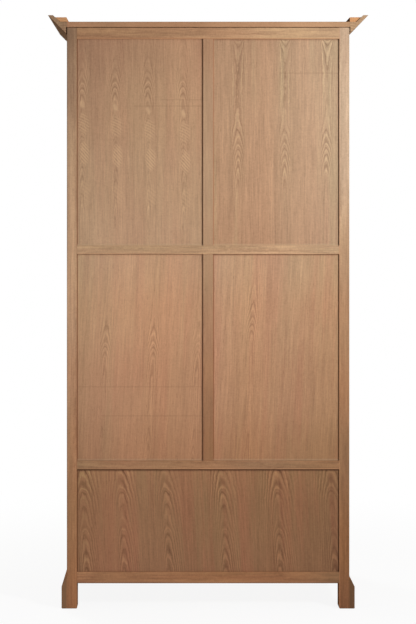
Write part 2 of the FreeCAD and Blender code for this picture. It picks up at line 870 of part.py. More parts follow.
def main():
    os.makedirs("parts", exist_ok=True)
    nodes = {**carcass_nodes(), **cap_nodes(), **interior_nodes(), **door_nodes(), **drawer_nodes()}
    for name, solids in nodes.items():
        write(name, solids)
    print(f"{len(nodes)} nodes")


main()
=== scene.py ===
"""Dresses the tall cabinet: oak veneers, stained oak framing, brass fittings, camera, floor and light."""
import bpy
import bmesh
import math
from functools import partialmethod
from mathutils import Matrix, Vector


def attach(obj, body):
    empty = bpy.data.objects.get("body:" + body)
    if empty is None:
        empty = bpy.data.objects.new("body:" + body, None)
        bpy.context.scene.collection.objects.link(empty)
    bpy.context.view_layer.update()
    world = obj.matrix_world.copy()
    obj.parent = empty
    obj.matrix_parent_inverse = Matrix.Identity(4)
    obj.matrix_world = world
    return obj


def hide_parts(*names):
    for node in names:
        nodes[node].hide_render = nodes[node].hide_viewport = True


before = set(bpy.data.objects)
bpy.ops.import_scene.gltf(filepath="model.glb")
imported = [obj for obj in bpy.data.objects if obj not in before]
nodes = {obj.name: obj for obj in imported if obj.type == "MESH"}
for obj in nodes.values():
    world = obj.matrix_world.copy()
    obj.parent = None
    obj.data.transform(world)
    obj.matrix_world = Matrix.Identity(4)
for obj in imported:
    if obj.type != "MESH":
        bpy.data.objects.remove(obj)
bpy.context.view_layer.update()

SIDES = {"left": -1, "right": 1}
DRAWERS = ("upper", "lower")

# Places on the cabinet, in metres
BACK = 0.300
UNDER_TOP = 1.960
POST_INNER = 0.442
POST_MASK_END = 0.4795
MUNTIN_EDGE = 0.017
HINGE_X = 0.44125
HINGE_LEVELS = (0.6423, 1.20925, 1.7762)
PULL_PLATE_LEVEL = 1.209
LEAF_FACE = -0.264
DROP_FACE = -0.2715
DROP_AXIS = -0.270
DROP_LEVELS = {"door": 1.223, "upper": 0.397, "lower": 0.212}
DRAWER_SIDE = 0.4405
DRAWER_SIDE_HEIGHT = 0.150
DRAWER_BOTTOMS = {"upper": 0.3089, "lower": 0.1239}
FAR = 9.0  # beyond every board

# Sizes of the trim, in metres and degrees. Drops: distance from the middle, length. Beads: radius, thickness,
# sweep. Studs: radius of their ring, angles. Tails and pins: width at both ends, length.
SCREW_REACH = 0.018
SCREW_SPREAD = 0.022
DROP_THICKNESS = 0.003
DROP_NECK = 0.0035
DROP_FOOT = 0.0085
DROPS = {"door": (0.026, 0.074), "drawer": (0.23868, 0.044)}
LOCK_BEADS = ((0.047, 0.0010, 171), (0.0125, 0.0008, 146))
LOCK_STUDS = (0.0395, (-74, -24, 24, 74))
DRAWER_BEAD = (0.0195, 0.0008)
DRAWER_STUDS = (0.0145, (40, 140, 220, 320))
TAIL = (0.019, 0.025, 0.014)
PIN = (0.016, 0.010, 0.0118)
FACING = Matrix.Rotation(math.radians(90), 4, "X")

# Half outlines of what is turned on a lathe, as (radius, height) pairs in millimetres
STUD = ((0, 1.5), (0.9, 1.42), (1.6, 1.1), (2.0, 0.6), (2.1, 0.3), (2.8, 0.3), (3.0, 0.1), (3.0, -0.3), (0, -0.3))
BOSS = ((0, 1.2), (1.4, 1.1), (2.4, 0.7), (2.9, 0.3), (3.6, 0.45), (4.2, 0.35), (4.5, 0), (4.5, -0.3), (0, -0.3))
BARREL = ((1.68, -4.7), (3.2, -4.7), (3.5, -4.4), (3.5, -3.1), (3.25, -2.85), (3.5, -2.6), (3.5, 2.6),
          (3.25, 2.85), (3.5, 3.1), (3.5, 4.4), (3.2, 4.7), (1.68, 4.7), (1.68, -4.7))


# Colours, as they look on screen, 0 to 255

def srgb(red, green, blue):
    """A colour as it looks on screen, turned into the linear values that a shader needs."""
    shares = (part / 255 for part in (red, green, blue))
    return (*(x / 12.92 if x <= 0.04045 else ((x + 0.055) / 1.055) ** 2.4 for x in shares), 1.0)


def stained(red, green, blue, warm=6):
    """A stain by its middle colour. Warm is how far its pinkish and its olive bands differ."""
    return {"light": (red + 0.7 * warm, green - 0.05 * warm, blue + 0.1 * warm),
            "olive": (red - 0.7 * warm, green + 0.05 * warm, blue - 0.1 * warm),
            "pale": (min(255, red * 1.13), green * 1.16, blue * 1.15),
            "deep": (red * 0.66, green * 0.6, blue * 0.56)}


STAIN = stained(181, 142, 109)
DRAWER_FRONT_STAIN = stained(166, 126, 94)
STRIP_WOOD = {"light": (216, 163, 117), "olive": (200, 147, 102), "pale": (230, 186, 140), "deep": (156, 100, 62)}
INNER_WOOD = {"light": (214, 180, 138), "olive": (200, 168, 124), "pale": (226, 196, 156), "deep": (150, 112, 76)}
TAIL_WOOD = {"light": (216, 180, 136), "olive": (200, 164, 118), "pale": (228, 196, 152), "deep": (150, 110, 74)}
BRASS_BRIGHT = (190, 154, 94)
BRASS_DARK = (112, 84, 52)

# Colour along edges, as (edge, strength, colour) or (strength, colour): painted shade, dark joint lines and pale
# worn edges
# Painted shadow at the low side and the head, a dark joint line with painted crease shade at the high side,
# painted shade at the foot
PANEL_EDGES = (("Low Side", 0.85, (84, 50, 32)), ("High Side", 0.7, (150, 88, 60)),
               ("Foot", 0.2, (120, 76, 50)), ("Head", 0.75, (112, 68, 44)))
# Painted shadow at the low side and under the waist rail, a dark joint line with painted crease shade at the high
# side, faint painted light at the foot
LOWER_PANEL_EDGES = (("Low Side", 0.8, (70, 42, 28)), ("High Side", 0.95, (84, 42, 22)),
                     ("Foot", 0.1, (160, 120, 90)), ("Head", 0.95, (66, 38, 25)))
# Painted shadow under the top board
SHADOW_UNDER_BOARD = (1.0, (22, 14, 9))
# A dark joint line with painted crease shade
DARK_LINE = (1.0, (112, 64, 38))
# Darker outer sides and flares of the feet: painted shade on the right, where the flare lies in shadow; a darker
# outer edge on the left
FLARE_END = {"left": (98, 74, 55), "right": (122, 95, 71)}
# A pale worn edge, partly a painted highlight where the arris catches the light
ARRIS = (196, 138, 98)
# The left post's inner edge is the pale worn edge; the right post's is a dark joint line with painted crease
# shade
POST_ARRISES = {"left": (0.3, ARRIS), "right": (0.27, (96, 66, 44))}
# The bottom rail's lower edge is darker; the other rails' lower edges are the pale worn edge with its painted
# highlight
RAIL_ARRISES = {"bottom": (0.6, (60, 36, 22)), "waist": (0.4, ARRIS), "middle": (0.15, ARRIS),
                "top": (0.45, ARRIS)}

# Painted shade on faces that look away from the light, as (way that they look, strength, colour)
FLANGE_UNDERSIDE_SHADE = ((0, 0, -1), 0.6, (98, 72, 53))
STRIP_END_SHADE = ((1, 0, 0), 0.9, (30, 20, 14))


# Shader sheets

class Sheet:
    """A node tree being wired up. Most calls add nodes and give back the last one's main output."""

    def __init__(self, tree):
        self.tree = tree

    def node(self, kind, **settings):
        made = self.tree.nodes.new("ShaderNode" + kind)
        for key, value in settings.items():
            setattr(made, key, value)
        return made

    def feed(self, value, socket):
        if isinstance(value, bpy.types.NodeSocket):
            self.tree.links.new(value, socket)
        elif value is not None:
            socket.default_value = value

    def filled(self, made, *values, **named):
        """Feeds a node's sockets, in their order or by their names in small letters."""
        for value, socket in zip(values, made.inputs):
            self.feed(value, socket)
        for key, value in named.items():
            self.feed(value, made.inputs[key.replace("_", " ").title()])
        return made

    def math(self, operation, *values):
        return self.filled(self.node("Math", operation=operation), *values).outputs[0]

    # Scaled is a value times a gain, added to a base. Size is a value without its sign.
    plus = partialmethod(math, "ADD")
    minus = partialmethod(math, "SUBTRACT")
    times = partialmethod(math, "MULTIPLY")
    over = partialmethod(math, "DIVIDE")
    scaled = partialmethod(math, "MULTIPLY_ADD")
    size = partialmethod(math, "ABSOLUTE")

    def swung(self, base, noise, reach):
        """A base that a noise swings to both sides."""
        return self.scaled(self.minus(noise, 0.5), reach, base)

    def share(self, value, low, high):
        """How far a value has come on its way from low to high."""
        return self.over(self.minus(value, low), high - low)

    def vector(self, operation, a, b=None, result="Vector"):
        return self.filled(self.node("VectorMath", operation=operation), a, b).outputs[result]

    tinted = partialmethod(vector, "MULTIPLY")

    def parts(self, vector):
        return self.filled(self.node("SeparateXYZ"), vector).outputs

    def join(self, x, y, z):
        return self.filled(self.node("CombineXYZ"), x, y, z).outputs[0]

    def noise(self, vector, scale, detail=2.0, roughness=0.5):
        """Noise whose grain is stretched differently along each way of the vector."""
        return self.filled(self.node("TexNoise"), vector=self.tinted(vector, scale), scale=1.0, detail=detail,
                           roughness=roughness).outputs[0]

    def ramp(self, value, low, high, out_low=0.0, out_high=1.0):
        made = self.node("MapRange", interpolation_type="SMOOTHSTEP")
        return self.filled(made, value, low, high, out_low, out_high).outputs[0]

    def hill(self, value, foot, top, brow, end):
        """Rises smoothly from foot to top, and falls from brow to end."""
        return self.times(self.ramp(value, foot, top), self.ramp(value, end, brow))

    def mix(self, factor, a, b):
        made = self.node("Mix", data_type="RGBA")
        for key, value in (("Factor", factor), (6, a), (7, b)):
            self.feed(value, made.inputs[key])
        return made.outputs[2]

    def toward(self, colour, mask, strength, tint):
        """A colour led toward a tint, as far as a mask and its strength say."""
        return self.mix(self.times(mask, strength), colour, srgb(*tint))

    def lit(self, colour, gain):
        """A colour made lighter or darker."""
        return self.tinted(colour, self.join(gain, gain, gain))

    def curve(self, value, points):
        made = self.filled(self.node("FloatCurve"), value=value)
        line = made.mapping.curves[0]
        line.points[0].location = points[0]
        line.points[1].location = points[-1]
        for point in points[1:-1]:
            line.points.new(*point)
        made.mapping.update()
        return made.outputs[0]

    def stops(self, value, places):
        """A colour that changes along a value, from (place, colour) pairs."""
        made = self.filled(self.node("ValToRGB"), value)
        line = made.color_ramp
        line.interpolation = "EASE"
        while len(line.elements) < len(places):
            line.elements.new(0.5)
        for element, (place, colour) in zip(line.elements, places):
            element.position = place
            element.color = (*colour, 1.0)
        return made.outputs[0]

    def group(self, tree, **values):
        return self.filled(self.node("Group", node_tree=tree), **values).outputs


def new_group(name, inputs, outputs):
    """An empty shader group, its sheet and its two ends. Inputs start at a number, a place or a colour."""
    tree = bpy.data.node_groups.new(name, "ShaderNodeTree")
    for key, start in inputs.items():
        kind = "Float" if isinstance(start, float) else "Vector" if len(start) == 3 else "Color"
        tree.interface.new_socket(name=key, in_out="INPUT", socket_type="NodeSocket" + kind).default_value = start
    for key in outputs:
        tree.interface.new_socket(name=key, in_out="OUTPUT",
                                  socket_type="NodeSocketColor" if key == "Color" else "NodeSocketFloat")
    return Sheet(tree), tree.nodes.new("NodeGroupInput").outputs, tree.nodes.new("NodeGroupOutput").inputs


# Shared effects

def make_heart_group():
    """Where a point lies across the board from the heart of the nearest of up to six veneer leaves."""
    hearts = [f"Heart {n}" for n in range(1, 7)]
    sheet, given, out = new_group("nearest_heart", {"Across": 0.0, **dict.fromkeys(hearts, FAR)}, ("Offset",))
    nearest, *others = [sheet.minus(given["Across"], given[heart]) for heart in hearts]
    for gap in others:
        closer = sheet.math("LESS_THAN", sheet.size(gap), sheet.size(nearest))
        nearest = sheet.scaled(closer, sheet.minus(gap, nearest), nearest)
    sheet.feed(nearest, out["Offset"])
    return sheet.tree


def make_oak_group():
    """Stained oak cut from the log: growth rings, bands of stain, fibres and pores along the board."""
    sheet, given, out = new_group("stained_oak", {
        "Board": (0, 0, 0), "Leaf": (0, 0, 0), "Offset": 0.02, "Pith Depth": 0.012, "Rise": 0.0, "Ring": 0.013,
        "Wobble": 0.75, "Figure": 0.5, "Spread": 0.045, "Core": 0.034, "Flank": 0.0, "Skew": 0.0,
        "Clear Side": 0.0, "Streaks": 1.0, **{part.title(): srgb(*colour) for part, colour in STAIN.items()},
    }, ("Color", "Roughness", "Height"))
    board, leaf, depth = given["Board"], given["Leaf"], given["Pith Depth"]
    sway = sheet.minus(sheet.noise(leaf, (6, 6, 2.4)), 0.5)
    wobble = sheet.minus(sheet.noise(leaf, (70, 70, 34), 2.0, 0.65), 0.5)
    offset = sheet.scaled(sway, 0.02, given["Offset"])
    distance = sheet.scaled(offset, given["Skew"], sheet.size(offset))
    radius = sheet.math("SQRT", sheet.plus(sheet.times(distance, distance), sheet.times(depth, depth)))
    near_heart = sheet.over(1.0, sheet.plus(1.0, sheet.math("POWER", sheet.over(distance, given["Core"]), 2.0)))
    outside = sheet.math("MAXIMUM", sheet.scaled(given["Core"], -0.6, distance), 0.0)
    radius = sheet.scaled(outside, given["Flank"], radius)
    rings = sheet.scaled(given["Rise"], near_heart, radius)
    rings = sheet.scaled(sway, 0.016, rings)
    rings = sheet.scaled(wobble, sheet.times(given["Ring"], given["Wobble"]), rings)
    count = sheet.over(rings, given["Ring"])
    wide_ring = sheet.math("FRACT", count)
    fine_ring = sheet.math("FRACT", sheet.times(count, 2.37))
    pale = sheet.hill(wide_ring, 0.0, 0.2, 0.22, 0.5)
    dark = sheet.hill(wide_ring, 0.42, 0.62, 0.66, 0.88)
    fine = sheet.hill(fine_ring, 0.0, 0.3, 0.4, 0.75)
    from_clear = sheet.size(sheet.minus(given["Offset"], given["Clear Side"]))
    clear = sheet.ramp(from_clear, 0.008, given["Spread"], 1.0, 0.1)
    patchy = sheet.ramp(sheet.noise(leaf, (16, 16, 7.0), 1.0), 0.32, 0.62, 0.4, 1.0)
    clear = sheet.times(sheet.times(clear, patchy), given["Figure"])

    wide = sheet.noise(board, (9, 9, 0.6), 2.0, 0.55)
    cloud = sheet.noise(board, (3.0, 3.0, 1.7))
    band = sheet.noise(leaf, (42, 42, 1.4), 2.0, 0.6)
    streak = sheet.noise(leaf, (170, 170, 7.0), 2.0, 0.62)
    fibre = sheet.noise(board, (620, 620, 18), 2.0, 0.6)
    fleck = sheet.noise(board, (120, 120, 190), 1.0)
    pores = sheet.ramp(sheet.noise(board, (1100, 1100, 60), 1.0), 0.6, 0.72)

    stain = sheet.swung(sheet.swung(wide, cloud, 0.9), band, 0.55)
    colour = sheet.mix(sheet.ramp(stain, 0.36, 0.64), given["Light"], given["Olive"])
    bright = sheet.times(sheet.times(pale, clear), 0.85)
    shade = sheet.scaled(sheet.times(fine, near_heart), 0.26, sheet.times(dark, 0.42))
    shade = sheet.times(shade, clear)
    colour = sheet.mix(bright, sheet.mix(shade, colour, given["Deep"]), given["Pale"])
    tone = sheet.times(sheet.minus(band, 0.5), 0.3)
    for noise, reach in ((streak, 0.4), (fibre, 0.3), (fleck, 0.17), (cloud, 0.16)):
        tone = sheet.swung(tone, noise, reach)
    colour = sheet.lit(colour, sheet.scaled(tone, given["Streaks"], 1.0))
    pore_mask = sheet.times(pores, sheet.scaled(dark, 0.35, 0.2))
    sheet.feed(sheet.mix(pore_mask, colour, given["Deep"]), out["Color"])
    sheet.feed(sheet.scaled(streak, 0.16, 0.52), out["Roughness"])
    height = sheet.scaled(fibre, 0.25, sheet.times(dark, -0.12))
    sheet.feed(sheet.scaled(pores, -0.8, height), out["Height"])
    return sheet.tree


def make_corner_shade_group():
    """Masks of the painted shade and dark joint lines where a panel meets its frame, from the panel's clear
    opening.
    """
    sheet, given, out = new_group("shade_in_corners", {
        "Across": 0.0, "Along": 0.0, "Low Across": -1.0, "High Across": 1.0, "Low Along": -1.0, "High Along": 1.0,
        "Side Width": 0.004, "End Width": 0.004}, ("Low Side", "High Side", "Foot", "Head"))
    for way, width, low, high in (("Across", "Side Width", "Low Side", "High Side"),
                                  ("Along", "End Width", "Foot", "Head")):
        sheet.feed(sheet.ramp(sheet.minus(given[way], given[f"Low {way}"]), given[width], 0.0), out[low])
        sheet.feed(sheet.ramp(sheet.minus(given[f"High {way}"], given[way]), given[width], 0.0), out[high])
    return sheet.tree


def make_mark_group():
    """A faint line across the grain, as a batten leaves in a store."""
    starts = dict.fromkeys(("Across", "Along", "Level", "Start", "End"), 0.0)
    sheet, given, out = new_group("faint_cross_marks", starts, ("Mask",))
    gap = sheet.size(sheet.minus(given["Along"], given["Level"]))
    inside = sheet.times(sheet.math("GREATER_THAN", given["Across"], given["Start"]),
                         sheet.math("LESS_THAN", given["Across"], given["End"]))
    sheet.feed(sheet.times(sheet.ramp(gap, 0.0032, 0.0008), inside), out["Mask"])
    return sheet.tree


def make_ray_group():
    """Fine slanting lines in a small oval beside a heart, where the saw has crossed the wood's rays."""
    sheet, given, out = new_group("ray_hatch", {
        "Offset": 0.0, "Along": 0.0, "Aside": 0.0, "Level": 0.0, "Half Width": 0.015, "Half Length": 0.04,
        "Slope": 1.0, "Pitch": 0.009}, ("Mask",))
    across = sheet.minus(given["Offset"], given["Aside"])
    along = sheet.minus(given["Along"], given["Level"])
    oval = sheet.plus(sheet.math("POWER", sheet.over(across, given["Half Width"]), 2.0),
                      sheet.math("POWER", sheet.over(along, given["Half Length"]), 2.0))
    step = sheet.scaled(sheet.times(given["Slope"], across), -1.0, along)
    bend = sheet.noise(sheet.join(given["Offset"], 0.0, given["Along"]), (36, 1, 18), 1.0)
    turns = sheet.over(sheet.swung(step, bend, 0.009), given["Pitch"])
    wave = sheet.scaled(sheet.math("COSINE", sheet.times(turns, math.tau)), 0.5, 0.5)
    sheet.feed(sheet.times(wave, sheet.ramp(oval, 1.0, 0.2)), out["Mask"])
    return sheet.tree


def make_wear_group():
    """A mask of the edges that hands and cleaning rub, broken up by noise."""
    sheet, given, out = new_group("rubbed_edges", {"Place": (0, 0, 0), "Width": 0.002}, ("Mask",))
    rounded = sheet.filled(sheet.node("Bevel", samples=4), radius=given["Width"])
    plain = sheet.node("NewGeometry").outputs["Normal"]
    flat = sheet.vector("DOT_PRODUCT", rounded.outputs[0], plain, "Value")
    broken = sheet.ramp(sheet.noise(given["Place"], (60, 60, 22), 3.0), 0.35, 0.65, 0.25, 1.0)
    sheet.feed(sheet.times(sheet.ramp(flat, 0.98, 0.8), broken), out["Mask"])
    return sheet.tree


def make_brass_group():
    """Old brass: a warm yellow that darkens to brown in patches, with fine scratches."""
    sheet, given, out = new_group("aged_brass", {
        "Place": (0, 0, 0), "Bright": srgb(*BRASS_BRIGHT), "Dark": srgb(*BRASS_DARK), "Age": 0.5,
    }, ("Color", "Roughness", "Height"))
    place = given["Place"]
    clouds = sheet.noise(place, (26, 26, 26), 3.0, 0.55)
    spots = sheet.noise(place, (420, 420, 420), 3.0, 0.6)
    scratch = sheet.noise(place, (900, 900, 60))
    low = sheet.scaled(given["Age"], -0.3, 0.62)
    patina = sheet.ramp(sheet.scaled(spots, 0.22, clouds), sheet.plus(low, -0.1), sheet.plus(low, 0.42))
    sheet.feed(sheet.mix(patina, given["Bright"], given["Dark"]), out["Color"])
    sheet.feed(sheet.scaled(scratch, 0.1, sheet.scaled(patina, 0.26, 0.27)), out["Roughness"])
    sheet.feed(sheet.scaled(spots, 0.5, sheet.times(scratch, 0.5)), out["Height"])
    return sheet.tree


HEARTS = make_heart_group()
OAK = make_oak_group()
CORNER_SHADE = make_corner_shade_group()
MARKS = make_mark_group()
RAYS = make_ray_group()
WEAR = make_wear_group()
BRASS = make_brass_group()


# Finishes

def new_finish(name):
    """A material with its sheet, its shader and the piece's own coordinates."""
    material = bpy.data.materials.new(name)
    material.use_nodes = True
    sheet = Sheet(material.node_tree)
    shader = material.node_tree.nodes["Principled BSDF"]
    place = sheet.node("TexCoord").outputs["Object"]
    return material, sheet, shader, place


def coat(sheet, shader, colour, surface, strength, distance):
    """Gives a shader its colour, and the roughness and relief of a surface."""
    bump = sheet.filled(sheet.node("Bump"), strength=strength, distance=distance, height=surface["Height"])
    sheet.filled(shader, base_color=colour, roughness=surface["Roughness"], normal=bump.outputs[0])


def oak(name, ways, hearts=(0.0,), pith=0.0, shift=(0, 0, 0), figure=0.6, climb=None, span=(0.0, 2.0), reach=0.06,
        slope=0.03, lean=0.0, clarity=None, stain=STAIN, fade=None, drift=None, twist=0.0, opening=None,
        edges=PANEL_EDGES, side_width=0.004, end_width=0.004, marks=(), rays=(), shaded=None, wear=0.3,
        gloss=0.14, **grain):
    """Oak whose across, through and along ways are named by three letters, such as zyx for a rail.

    The hearts and the pith say where the middle of the log lies, and climb how fast the board leaves it.
    Clarity says how plainly the figure shows along the board, as (share, strength) pairs.
    Fade gives the strength of the stain along the board, and drift across it, as (share, colour) pairs; both also
    carry painted light falloff.
    Twist is how much paler two opposite corners are than the other two.
    Opening gives the sides and ends of what shows, and the widths how far the painted shade, joint lines and worn
    edges at its edges reach in.
    Shaded darkens the faces that look one way, given as (way, strength, colour).
    Grain is all else that the oak group knows: ring, wobble, spread, core, flank, skew, clear side, streaks.
    """
    material, sheet, shader, place = new_finish(name)
    axes = dict(zip("xyz", sheet.parts(place)))
    side, through, along = (axes[letter] for letter in ways)
    across = sheet.scaled(sheet.minus(along, sum(span) / 2), -lean, side) if lean else side
    near = sheet.group(HEARTS, across=across, **{f"heart_{n}": x for n, x in enumerate(hearts, 1)})
    board = sheet.join(*(sheet.plus(way, step) for way, step in zip((across, through, along), shift)))
    leaf = sheet.join(sheet.plus(near["Offset"], shift[0]), sheet.scaled(across, 0.2, shift[1]),
                      sheet.plus(along, shift[2]))
    share = sheet.share(along, *span)
    if climb:
        rise = sheet.times(sheet.minus(sheet.curve(share, climb), 1.0), reach)
    else:
        rise = sheet.times(along, slope)
    if clarity:
        figure = sheet.times(sheet.curve(share, clarity), figure)
    wood = sheet.group(OAK, board=board, leaf=leaf, offset=near["Offset"], rise=rise, figure=figure,
                       pith_depth=sheet.minus(through, pith), **grain,
                       **{part: srgb(*colour) for part, colour in stain.items()})
    colour = wood["Color"]
    # Painted light falloff along and across the board, with the stain's own changes
    if fade:
        colour = sheet.tinted(colour, sheet.stops(share, fade))
    if drift:
        side_share = sheet.share(side, *opening[:2])
        colour = sheet.tinted(colour, sheet.stops(side_share, drift))
        if twist:
            corners = sheet.times(sheet.minus(share, 0.5), sheet.minus(side_share, 0.5))
            colour = sheet.lit(colour, sheet.scaled(corners, 4 * twist, 1.0))
    for *oval, strength in rays:
        hatch = sheet.group(RAYS, offset=near["Offset"], along=sheet.scaled(side, -0.09, along),
                            **dict(zip(("aside", "level", "half_width", "half_length", "slope", "pitch"), oval)))
        colour = sheet.toward(colour, hatch["Mask"], strength, stain["pale"])
    for level, start, end in marks:
        line = sheet.group(MARKS, across=side, along=along, level=level, start=start, end=end)
        colour = sheet.toward(colour, line["Mask"], 0.17, stain["deep"])
    # Painted shade on the faces that look one way
    if shaded:
        way, strength, tint = shaded
        turn = sheet.vector("DOT_PRODUCT", sheet.node("NewGeometry").outputs["Normal"], way, "Value")
        colour = sheet.toward(colour, sheet.ramp(turn, 0.3, 0.6), strength, tint)
    # Colour along the edges of the opening: painted shade, dark joint lines and pale worn edges, as the edges
    # give it
    if opening:
        ends = dict(zip(("low_across", "high_across", "low_along", "high_along"), opening))
        corner = sheet.group(CORNER_SHADE, across=side, along=along, **ends, side_width=side_width,
                             end_width=end_width)
        for edge, strength, tint in edges:
            colour = sheet.toward(colour, corner[edge], strength, tint)
    if wear:
        rubbed = sheet.group(WEAR, place=place, width=0.0022)
        pale = [min(255, part * gain) for part, gain in zip(stain["light"], (1.22, 1.08, 0.98))]
        colour = sheet.toward(colour, rubbed["Mask"], wear, pale)
    coat(sheet, shader, colour, wood, 0.35, 0.0004)
    shader.inputs["Specular IOR Level"].default_value = gloss
    return material


def brass(name, bright=BRASS_BRIGHT, age=0.5):
    material, sheet, shader, place = new_finish(name)
    metal = sheet.group(BRASS, place=place, bright=srgb(*bright), age=age)
    rubbed = sheet.group(WEAR, place=place, width=0.0009)
    shine = [min(255, part * 1.2) for part in bright]
    coat(sheet, shader, sheet.toward(metal["Color"], rubbed["Mask"], 0.7, shine), metal, 0.25, 0.0002)
    shader.inputs["Metallic"].default_value = 1.0
    return material


def finish(names, material):
    for name in names:
        mesh = nodes[name].data
        mesh.materials.clear()
        mesh.materials.append(material)


def dress(node, ways, name=None, **look):
    """Gives one piece its own board. The material is called after the piece if it has no name."""
    finish([node], oak(name or f"oak_{node}", ways, **look))


# Stains of the framing, each with its fade along the piece, which also paints the falloff of light, darker
# towards the floor, and a painted sheen at the top of the left back post

FRONT_POST = (STAIN, ((0, (0.74, 0.62, 0.54)), (0.4, (1, 1, 1))))
BACK_POSTS = {
    "left": (stained(193, 169, 141, 3), (
        (0, (0.41, 0.24, 0.18)), (0.1, (0.47, 0.285, 0.195)), (0.27, (0.51, 0.365, 0.28)),
        (0.36, (0.67, 0.46, 0.355)), (0.5, (0.735, 0.56, 0.455)), (0.61, (0.81, 0.68, 0.59)),
        (0.77, (1.04, 0.99, 0.98)), (0.87, (1.05, 1.02, 1.02)), (0.97, (0.92, 0.87, 0.87)))),
    "right": (stained(184, 149, 116, 3), (
        (0, (0.725, 0.515, 0.43)), (0.18, (0.72, 0.57, 0.495)), (0.28, (0.84, 0.7, 0.64)),
        (0.4, (0.98, 0.88, 0.87)), (0.5, (1.12, 1.09, 1.12)), (0.8, (0.985, 1.01, 1.05)),
        (0.9, (0.755, 0.725, 0.77)), (1, (0.575, 0.545, 0.57)))),
}

POST_DRIFTS = {
    "left": ((0.1, (0.88, 0.9, 0.9)), (0.26, (1, 1, 1))),
    "right": ((0, (1.07, 1.05, 1.03)), (0.5, (1.02, 1.02, 1.01)), (0.9, (0.92, 0.945, 0.96)),
              (1, (0.92, 0.945, 0.96))),
}

# Each rail's middle level, the lower edge of its face, its stain and its fade, which also paints the falloff of
# light
RAIL_STAINS_AND_SHADING = {
    "bottom": (0.104, 0.0855, stained(157, 112, 79, 5), (
        (0, (0.63, 0.64, 0.65)), (0.2, (0.9, 0.86, 0.83)), (0.45, (1.03, 0.99, 0.95)),
        (0.75, (1.07, 1.02, 1.03)), (1, (1.06, 1.03, 1.06)))),
    "waist": (0.484, 0.4695, stained(157, 115, 85, 5), (
        (0, (0.83, 0.82, 0.74)), (0.3, (0.88, 0.9, 0.9)), (0.5, (1.06, 1.01, 0.97)),
        (0.75, (1.03, 1.04, 1.01)), (1, (0.89, 0.95, 0.93)))),
    "middle": (1.209, 1.1945, stained(181, 147, 114, 4), (
        (0, (1.02, 1.06, 1.06)), (0.3, (1.15, 1.14, 1.12)), (0.55, (0.95, 0.93, 0.9)),
        (0.8, (0.96, 0.93, 0.91)), (1, (1.05, 1.01, 1)))),
    "top": (1.94, 1.92, stained(178, 144, 110, 4), (
        (0, (1.04, 1.04, 1.07)), (0.2, (1.09, 1.07, 1.06)), (0.5, (0.92, 0.84, 0.8)),
        (0.75, (0.8, 0.71, 0.66)), (1, (0.77, 0.67, 0.62)))),
}

# Each muntin's stain, its span and its fade, which also paints the falloff of light
MUNTIN_STAINS_AND_SHADING = {
    "upper": (stained(173, 139, 107, 4), (1.22, 1.92), (
        (0, (1, 1, 1.01)), (0.3, (1.01, 1.04, 1.08)), (0.7, (1.02, 1.045, 1.075)), (1, (0.93, 0.88, 0.87)))),
    "middle": (stained(165, 122, 92, 4), (0.498, 1.195), (
        (0.05, (0.82, 0.75, 0.65)), (0.26, (0.82, 0.8, 0.74)), (0.42, (1.01, 0.97, 0.91)),
        (0.6, (1.08, 1.06, 1.07)), (0.95, (1.12, 1.28, 1.32)))),
}

FLANGE_STAINS = {"left": stained(170, 136, 106, 4), "right": stained(157, 124, 97, 4)}


